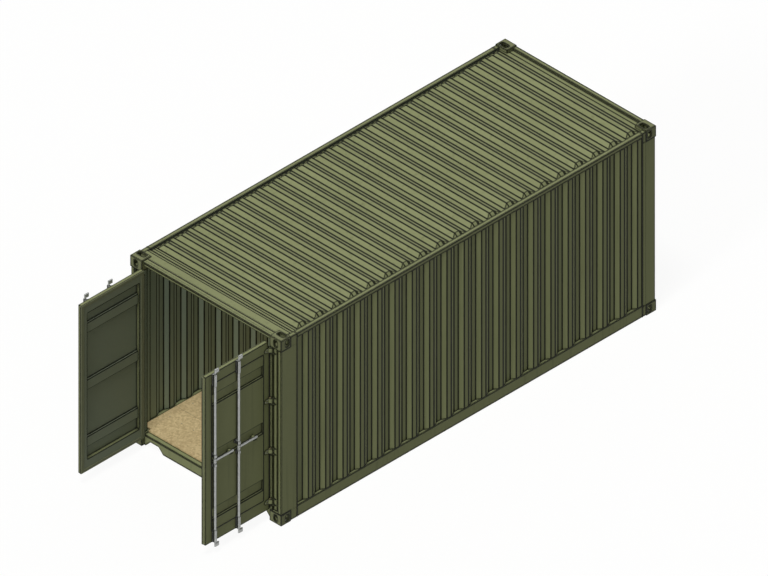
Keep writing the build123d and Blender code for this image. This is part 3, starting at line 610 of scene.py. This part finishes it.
tree.links.new(shader.outputs[0], output.inputs["Surface"])
dress(plywood, "floor")

# Seams: sheet is welded to posts and rails, then sealed with a bead of polyurethane laid
# along the joint. The bead is made a dull line, nearly black, to stand as a painted shade line
# along the joint. A bead is a thin tube, half sunk in the corner that it closes.

SEALANT_SHADE_BLACK = "#12140a"
SEALANT_ROUGHNESS = 0.6
RUBBER_SHEEN = 0.2
SEAM_RADIUS = 0.0062
SEAM_SIDES = 6
FRAME_FACE = 0.005
POST_FLANGE = 0.055
POST_GROOVE = 0.032
GROOVE_DEPTH = 0.040
INNER_SETBACK = 0.025
CORRUGATION = 0.036
SHEET = 0.004
CASTING_REACH = 1.033
half_width, end_y = corners("top_castings_front_end")[1][:2]
casting_back, casting_top = corners("bottom_castings_door_end")[1][1:]
upper_casting_low = corners("top_castings_door_end")[0][2]
rail_low, rail_high = corners("right_bottom_side_rail")
top_rail_low, top_rail_high = corners("right_top_side_rail")
post_side = corners("right_door_post")[0][0]
front_post_side = corners("right_front_post")[0][0]

# Nearly black sealant: a real bead, darkened to serve as a painted shade line at each joint.
sealant, tree, output = new_material("polyurethane_sealant")
shader = add(tree, "ShaderNodeBsdfPrincipled", {"Base Color": linear(SEALANT_SHADE_BLACK),
                                                "Roughness": SEALANT_ROUGHNESS,
                                                "Specular IOR Level": RUBBER_SHEEN})
tree.links.new(shader.outputs[0], output.inputs["Surface"])


def new_piece(name, verts, faces, material):
    """An object at the origin, with its mesh built from vertices and faces."""
    mesh = bpy.data.meshes.new(name)
    mesh.from_pydata(verts, [], faces)
    mesh.materials.append(material)
    piece = bpy.data.objects.new(name, mesh)
    bpy.context.scene.collection.objects.link(piece)
    return piece


def seam(name, lines, body):
    """Tubes along lines of points. Each point carries a ring of SEAM_SIDES vertices, set
    square to the mean direction of the two runs that meet there."""
    verts, faces, base = [], [], 0
    turn = np.arange(SEAM_SIDES) * 2 * np.pi / SEAM_SIDES
    for line in lines:
        points = np.array(line, dtype=float)
        runs = np.diff(points, axis=0)
        runs /= np.linalg.norm(runs, axis=1)[:, None]
        heading = np.vstack([runs[:1], runs[:-1] + runs[1:], runs[-1:]])
        heading /= np.linalg.norm(heading, axis=1)[:, None]
        spare = np.eye(3)[np.argmin(np.abs(runs).sum(axis=0))]
        across = np.cross(heading, spare)
        across /= np.linalg.norm(across, axis=1)[:, None]
        upward = np.cross(across, heading)
        ring = (across[:, None] * np.cos(turn)[None, :, None]
                + upward[:, None] * np.sin(turn)[None, :, None])
        verts.append((points[:, None] + SEAM_RADIUS * ring).reshape(-1, 3))
        index = base + np.arange(len(points) * SEAM_SIDES).reshape(-1, SEAM_SIDES)
        following = np.roll(index, -1, axis=1)
        quads = np.stack([index[:-1], index[1:], following[1:], following[:-1]], axis=-1)
        faces += [tuple(q) for q in quads.reshape(-1, 4).tolist()]
        faces += [tuple(index[0].tolist()), tuple(index[-1][::-1].tolist())]
        base += len(points) * SEAM_SIDES
    piece = new_piece(name, np.vstack(verts).tolist(), faces, sealant)
    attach(piece, body)


def mirrored(lines):
    """The lines of the right side, and the same on the left."""
    return lines + [[(-x, y, z) for x, y, z in line] for line in lines]


# Seams of the shell, written for the right side: casting welds, post and rail joints, the
# wall's edges along its ribs, and the roof's edges.

face_x = half_width - FRAME_FACE
door_y = -end_y
outer_step = door_y + FRAME_FACE
inner_step = outer_step + INNER_SETBACK
groove_floor = outer_step + GROOVE_DEPTH
groove_near, groove_far = face_x - POST_FLANGE, face_x - POST_FLANGE - POST_GROOVE
post_step = [
    (face_x, casting_back), (face_x, outer_step), (groove_near, outer_step),
    (groove_near, groove_floor), (groove_far, groove_floor), (groove_far, inner_step),
    (post_side, inner_step)]
front_step = [(face_x, -casting_back), (face_x, end_y - FRAME_FACE),
              (front_post_side, end_y - FRAME_FACE)]
joints = []
for y in (rail_low[1], rail_high[1]):
    joints.append([(face_x, y, rail_high[2]), (face_x, y, top_rail_low[2])])
for level in (casting_top, upper_casting_low):
    joints += [[(x, y, level) for x, y in post_step], [(x, y, level) for x, y in front_step]]
for y in (casting_back, -casting_back):
    joints += [[(face_x, y, rail_low[2]), (face_x, y, casting_top)],
               [(face_x, y, upper_casting_low), (face_x, y, top_rail_high[2])]]
for y in (rail_low[1], rail_high[1]):
    joints += [[(face_x, y, rail_low[2]), (face_x, y, rail_high[2])],
               [(face_x, y, top_rail_low[2]), (face_x, y, top_rail_high[2])]]
seam("frame_weld_seams", mirrored(joints), "container")

rises = SIDE_FIRST_FOLD + SIDE_PITCH * np.arange(SIDE_RIB_COUNT)
outer_face, inner_face = wall_high[0], wall_high[0] - CORRUGATION
rib_line = [(inner_face, wall_low[1])]
for rise in rises:
    rib_line += [(inner_face, rise), (outer_face, rise + SIDE_SLOPE),
                 (outer_face, rise + SIDE_SLOPE + SIDE_FLAT)]
    if rise < rises[-1]:
        rib_line.append((inner_face, rise + 2 * SIDE_SLOPE + SIDE_FLAT))
wall_edges = [[(x, y, z) for x, y in rib_line] for z in (wall_low[2], wall_high[2])]
wall_edges += [[(inner_face, wall_low[1], wall_low[2]), (inner_face, wall_low[1], wall_high[2])],
               [(outer_face - SHEET, wall_high[1], wall_low[2]),
                (outer_face - SHEET, wall_high[1], wall_high[2])]]
seam("side_wall_seams", mirrored(wall_edges), "container")

ROOF_LAP = -2.713
PLATE_LAP = -2.939
header_top = corners("door_header")[1][2]
roof_low, roof_high = corners("roof")
roof_valley = roof_high[2] - CORRUGATION
roof_edges = mirrored([[(roof_high[0], roof_low[1], roof_valley),
                        (roof_high[0], -casting_back, roof_valley)]])
roof_edges += [[(-roof_high[0], roof_low[1], roof_valley),
                (roof_high[0], roof_low[1], roof_valley)],
               [(-CASTING_REACH, roof_high[1], roof_valley),
                (CASTING_REACH, roof_high[1], roof_valley)],
               [(-roof_high[0], ROOF_LAP, roof_valley), (roof_high[0], ROOF_LAP, roof_valley)],
               [(-CASTING_REACH, PLATE_LAP, header_top), (CASTING_REACH, PLATE_LAP, header_top)]]
seam("roof_seams", roof_edges, "container")

# Seams of the door leaves: the panel is welded into its frame, and the same nearly black
# sealant is laid round it on both faces; its dark colour is a painted shade line round the panel.


def leaf_face(side):
    """How far from the middle the outer face of an open leaf stands."""
    low, high = corners(side + "_door_frame")
    return max(abs(low[0]), abs(high[0]))


for side, sign in (("left", -1), ("right", 1)):
    face = leaf_face(side)
    (_, near, bottom), (_, far, top) = corners(side + "_door_panel")
    rim = [(near, bottom), (far, bottom), (far, top), (near, top), (near, bottom)]
    loops = [[(sign * x, y, z) for y, z in rim] for x in (face, face - SHEET)]
    seam(side + "_door_panel_seams", loops, side + "_door")

# Lips: extruded strips of matt black rubber, pushed on the hinge edge of each leaf to keep the
# rain out of the gap beside the post, and on the gasket's tip, where the closed leaves meet.
# The hinge lip is cut away at the hinges, where short flaps and plugs close what is left.

LIP_OUTLINE = ((0.008, 0.0), (-0.006, 0.006), (0.0, -0.012), (0.0, 0.0))
MEETING_ALONG = (-0.0135, -0.0070)
MEETING_DEEP = (0.039, 0.047)
HINGE_HALF_HEIGHT = 0.0325
HINGE_COUNT = 4
BLADE_HALF_HEIGHT = 0.032
LIP_END_GAP = 0.010
FLAP_ACROSS = (0.0, 0.015)
FLAP_ALONG = (0.0, 0.006)
FLAP_ROOM = (0.0325, 0.0488)
PLUG_ACROSS = (0.009, 0.047)
PLUG_ALONG = (0.0025, 0.0085)
PLUG_ROOM = (0.0494, 0.0548)
LIP_BLACK = "#14150e"
LIP_ROUGHNESS = 0.75
lip_rubber, tree, output = new_material("black_lip_rubber")
shader = add(tree, "ShaderNodeBsdfPrincipled", {"Base Color": linear(LIP_BLACK),
                                                "Roughness": LIP_ROUGHNESS,
                                                "Specular IOR Level": RUBBER_SHEEN})
tree.links.new(shader.outputs[0], output.inputs["Surface"])


def bars(name, outline, spans, body, material):
    """Upright prisms on one outline of (x, y) points, each from a low to a high level. A prism
    is the outline's ring at the low level and again at the high one. The outline is turned
    anticlockwise first, so that the faces look outward."""
    ring = np.array(outline)
    following = np.roll(ring, -1, axis=0)
    if (ring[:, 0] * following[:, 1] - ring[:, 1] * following[:, 0]).sum() < 0:
        ring = ring[::-1]
    verts = np.empty((len(spans), 2, len(ring), 3))
    verts[..., :2] = ring
    verts[..., 2] = np.array(spans)[:, :, None]
    index = np.arange(2 * len(ring)).reshape(2, -1)
    low, high = index
    low_next, high_next = np.roll(index, -1, axis=1)
    pattern = [tuple(q) for q in np.stack([low, low_next, high_next, high], axis=-1).tolist()]
    pattern += [tuple(low[::-1].tolist()), tuple(high.tolist())]
    faces = [tuple(corner + step * index.size for corner in face)
             for step in range(len(spans)) for face in pattern]
    piece = new_piece(name, verts.reshape(-1, 3).tolist(), faces, material)
    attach(piece, body)


def hinge_levels(side):
    """The levels of a leaf's hinges, evenly spaced from the lowest to the highest."""
    low, high = corners(side + "_hinge_blades")
    return np.linspace(low[2] + BLADE_HALF_HEIGHT, high[2] - BLADE_HALF_HEIGHT,
                       HINGE_COUNT).tolist()


for side, sign in (("left", -1), ("right", 1)):
    face, levels = leaf_face(side), hinge_levels(side)
    frame_low, frame_high = corners(side + "_door_frame")
    bottom, top = frame_low[2] + LIP_END_GAP, frame_high[2] - LIP_END_GAP
    lows = [bottom] + [level + HINGE_HALF_HEIGHT for level in levels]
    highs = [level - HINGE_HALF_HEIGHT for level in levels] + [upper_casting_low - LIP_END_GAP]
    spans = [(low, high) for low, high in zip(lows, highs) if high - low > LIP_END_GAP]
    lip = [(sign * (face + out), frame_high[1] - along) for along, out in LIP_OUTLINE]
    bars(side + "_hinge_lip", lip, spans, side + "_door", lip_rubber)
    strip = [(sign * (face - MEETING_DEEP[i]), frame_low[1] + MEETING_ALONG[j])
             for i, j in ((0, 0), (1, 0), (1, 1), (0, 1))]
    bars(side + "_meeting_lip", strip, [(bottom, top)], side + "_door", lip_rubber)
    for name, across, along, room, body in (
            ("_hinge_flaps", FLAP_ACROSS, FLAP_ALONG, FLAP_ROOM, side + "_door"),
            ("_cover_plugs", PLUG_ACROSS, PLUG_ALONG, PLUG_ROOM, "container")):
        block = [(sign * (face + across[i]), frame_high[1] + along[j])
                 for i, j in ((0, 0), (0, 1), (1, 1), (1, 0))]
        ends = [(level + low, level + high) for level in levels
                for low, high in (room, (-room[1], -room[0]))]
        bars(side + name, block, ends, body, lip_rubber)

# Bolts and rivets of the doors: heads pressed cold in steel and plated with zinc, which has
# gone dull and mottled. Three hold each hinge blade to the leaf, four or two hold each rod
# guide, and one pins each handle to its hub.

BLADE_THICKNESS = 0.008
PAD_THICKNESS = 0.006
PAD_BOLT_OFFSET = 0.0255
PANEL_RIB_DEPTH = 0.027
MIDDLE_GUIDE_CENTRE = 0.065
ROD_RADIUS = 0.0155
HUB_RADIUS = 0.019
BLADE_BOLTS = ((0.017, 0.0), (0.044, 0.018), (0.044, -0.018))
GUIDE_BOLT_ENDS = (0.03, 0.138)
ZINC = "#8e9086"
DULL_ZINC = "#6f7162"
MOTTLES_PER_METRE = 160.0
PLATING_METALLIC = 0.6
PLATING_ROUGHNESS = 0.45
HEAD_SIDES = 8
BLADE_BOLT_RADIUS = 0.008
BLADE_BOLT_HEIGHT = 0.005
GUIDE_BOLT_RADIUS = 0.0045
GUIDE_BOLT_HEIGHT = 0.0035
HANDLE_PIN_RADIUS = 0.007
HANDLE_PIN_HEIGHT = 0.004

zinc, tree, output = new_material("zinc_plated_steel")
place = add(tree, "ShaderNodeTexCoord").outputs["Object"]
dull = add(tree, "ShaderNodeTexNoise", {"Scale": MOTTLES_PER_METRE, "Detail": 2.0},
           {"Vector": place})
plating = add(tree, "ShaderNodeMix", {6: linear(ZINC), 7: linear(DULL_ZINC)},
              {0: dull.outputs[0]}, data_type="RGBA")
shader = add(tree, "ShaderNodeBsdfPrincipled",
             {"Metallic": PLATING_METALLIC, "Roughness": PLATING_ROUGHNESS},
             {"Base Color": plating.outputs[2]})
tree.links.new(shader.outputs[0], output.inputs["Surface"])


def heads(name, feet, way, radius, height, body, material):
    """Domed heads that stand on points, facing along the unit vector way. Each head is a base
    ring, a shoulder ring at 0.6 of its height, a top ring of 0.6 of its radius, and a cap."""
    way = np.array(way, dtype=float)
    spare = np.eye(3)[np.argmin(np.abs(way))]
    across = np.cross(way, spare)
    upward = np.cross(way, across)
    turn = np.arange(HEAD_SIDES) * 2 * np.pi / HEAD_SIDES
    circle = np.outer(np.cos(turn), across) + np.outer(np.sin(turn), upward)
    rings = [(1.0, 0.0), (1.0, 0.6), (0.6, 1.0)]
    one = np.vstack([circle * radius * wide + way * height * tall for wide, tall in rings])
    verts = (np.array(feet, dtype=float)[:, None] + one[None]).reshape(-1, 3)
    index = np.arange(len(one)).reshape(len(rings), HEAD_SIDES)
    following = np.roll(index, -1, axis=1)
    quads = np.stack([index[:-1], following[:-1], following[1:], index[1:]], axis=-1)
    pattern = [tuple(q) for q in quads.reshape(-1, 4).tolist()] + [tuple(index[-1].tolist())]
    faces = [tuple(corner + step * len(one) for corner in face)
             for step in range(len(feet)) for face in pattern]
    piece = new_piece(name, verts.tolist(), faces, material)
    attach(piece, body)


for side, sign in (("left", -1), ("right", 1)):
    outward = (sign, 0.0, 0.0)
    blade_face, pad_face = leaf_face(side) + BLADE_THICKNESS, leaf_face(side) + PAD_THICKNESS
    tips = corners(side + "_hinge_blades")[0][1]
    feet = [(sign * blade_face, tips + inward, level + rise)
            for level in hinge_levels(side) for inward, rise in BLADE_BOLTS]
    heads(side + "_hinge_bolts", feet, outward, BLADE_BOLT_RADIUS, BLADE_BOLT_HEIGHT,
          side + "_door", zinc)

    guide_low, guide_high = corners(side + "_rod_guides")
    near, far = GUIDE_BOLT_ENDS
    feet = []
    for rod in ("inner", "outer"):
        rod_low, rod_high = corners(f"{side}_{rod}_lock_rod")
        handle_low, handle_high = corners(f"{side}_{rod}_handle")
        rod_y = rod_low[1] + ROD_RADIUS
        rod_x = sign * (min(abs(rod_low[0]), abs(rod_high[0])) + ROD_RADIUS)
        handle_z = (handle_low[2] + handle_high[2]) / 2
        for y in (rod_y - PAD_BOLT_OFFSET, rod_y + PAD_BOLT_OFFSET):
            for level in (guide_low[2] + near, guide_low[2] + far, guide_high[2] - near,
                          guide_high[2] - far, handle_z - MIDDLE_GUIDE_CENTRE):
                feet.append((sign * pad_face, y, level))
            feet.append((sign * (pad_face - PANEL_RIB_DEPTH), y, handle_z + MIDDLE_GUIDE_CENTRE))
        pin = (rod_x + sign * HUB_RADIUS, rod_y, handle_z)
        heads(f"{side}_{rod}_handle_pin", [pin], outward, HANDLE_PIN_RADIUS, HANDLE_PIN_HEIGHT,
              f"{side}_{rod}_rod", zinc)
    heads(side + "_guide_bolts", feet, outward, GUIDE_BOLT_RADIUS, GUIDE_BOLT_HEIGHT,
          side + "_door", zinc)

# Deck screws: self-tapping countersunk heads that hold the boards to each cross member. They
# stand barely proud of the deck, in a row over every member.

SCREW_RADIUS = 0.007
SCREW_HEIGHT = 0.0012
SCREWS_ACROSS = 12
SCREW_ROWS = 15
SCREW_EDGE = 0.10
MEMBER_FLANGE = 0.045
deck_low, deck_high = corners("floor")
member_low, member_high = corners("cross_members")
rows = np.linspace(member_low[1] + MEMBER_FLANGE / 2, member_high[1] - MEMBER_FLANGE / 2,
                   SCREW_ROWS)
columns = np.linspace(deck_low[0] + SCREW_EDGE, deck_high[0] - SCREW_EDGE, SCREWS_ACROSS)
screw_feet = [(float(x), float(y), deck_high[2]) for y in rows for x in columns]
heads("deck_screws", screw_feet, (0.0, 0.0, 1.0), SCREW_RADIUS, SCREW_HEIGHT, "container", zinc)
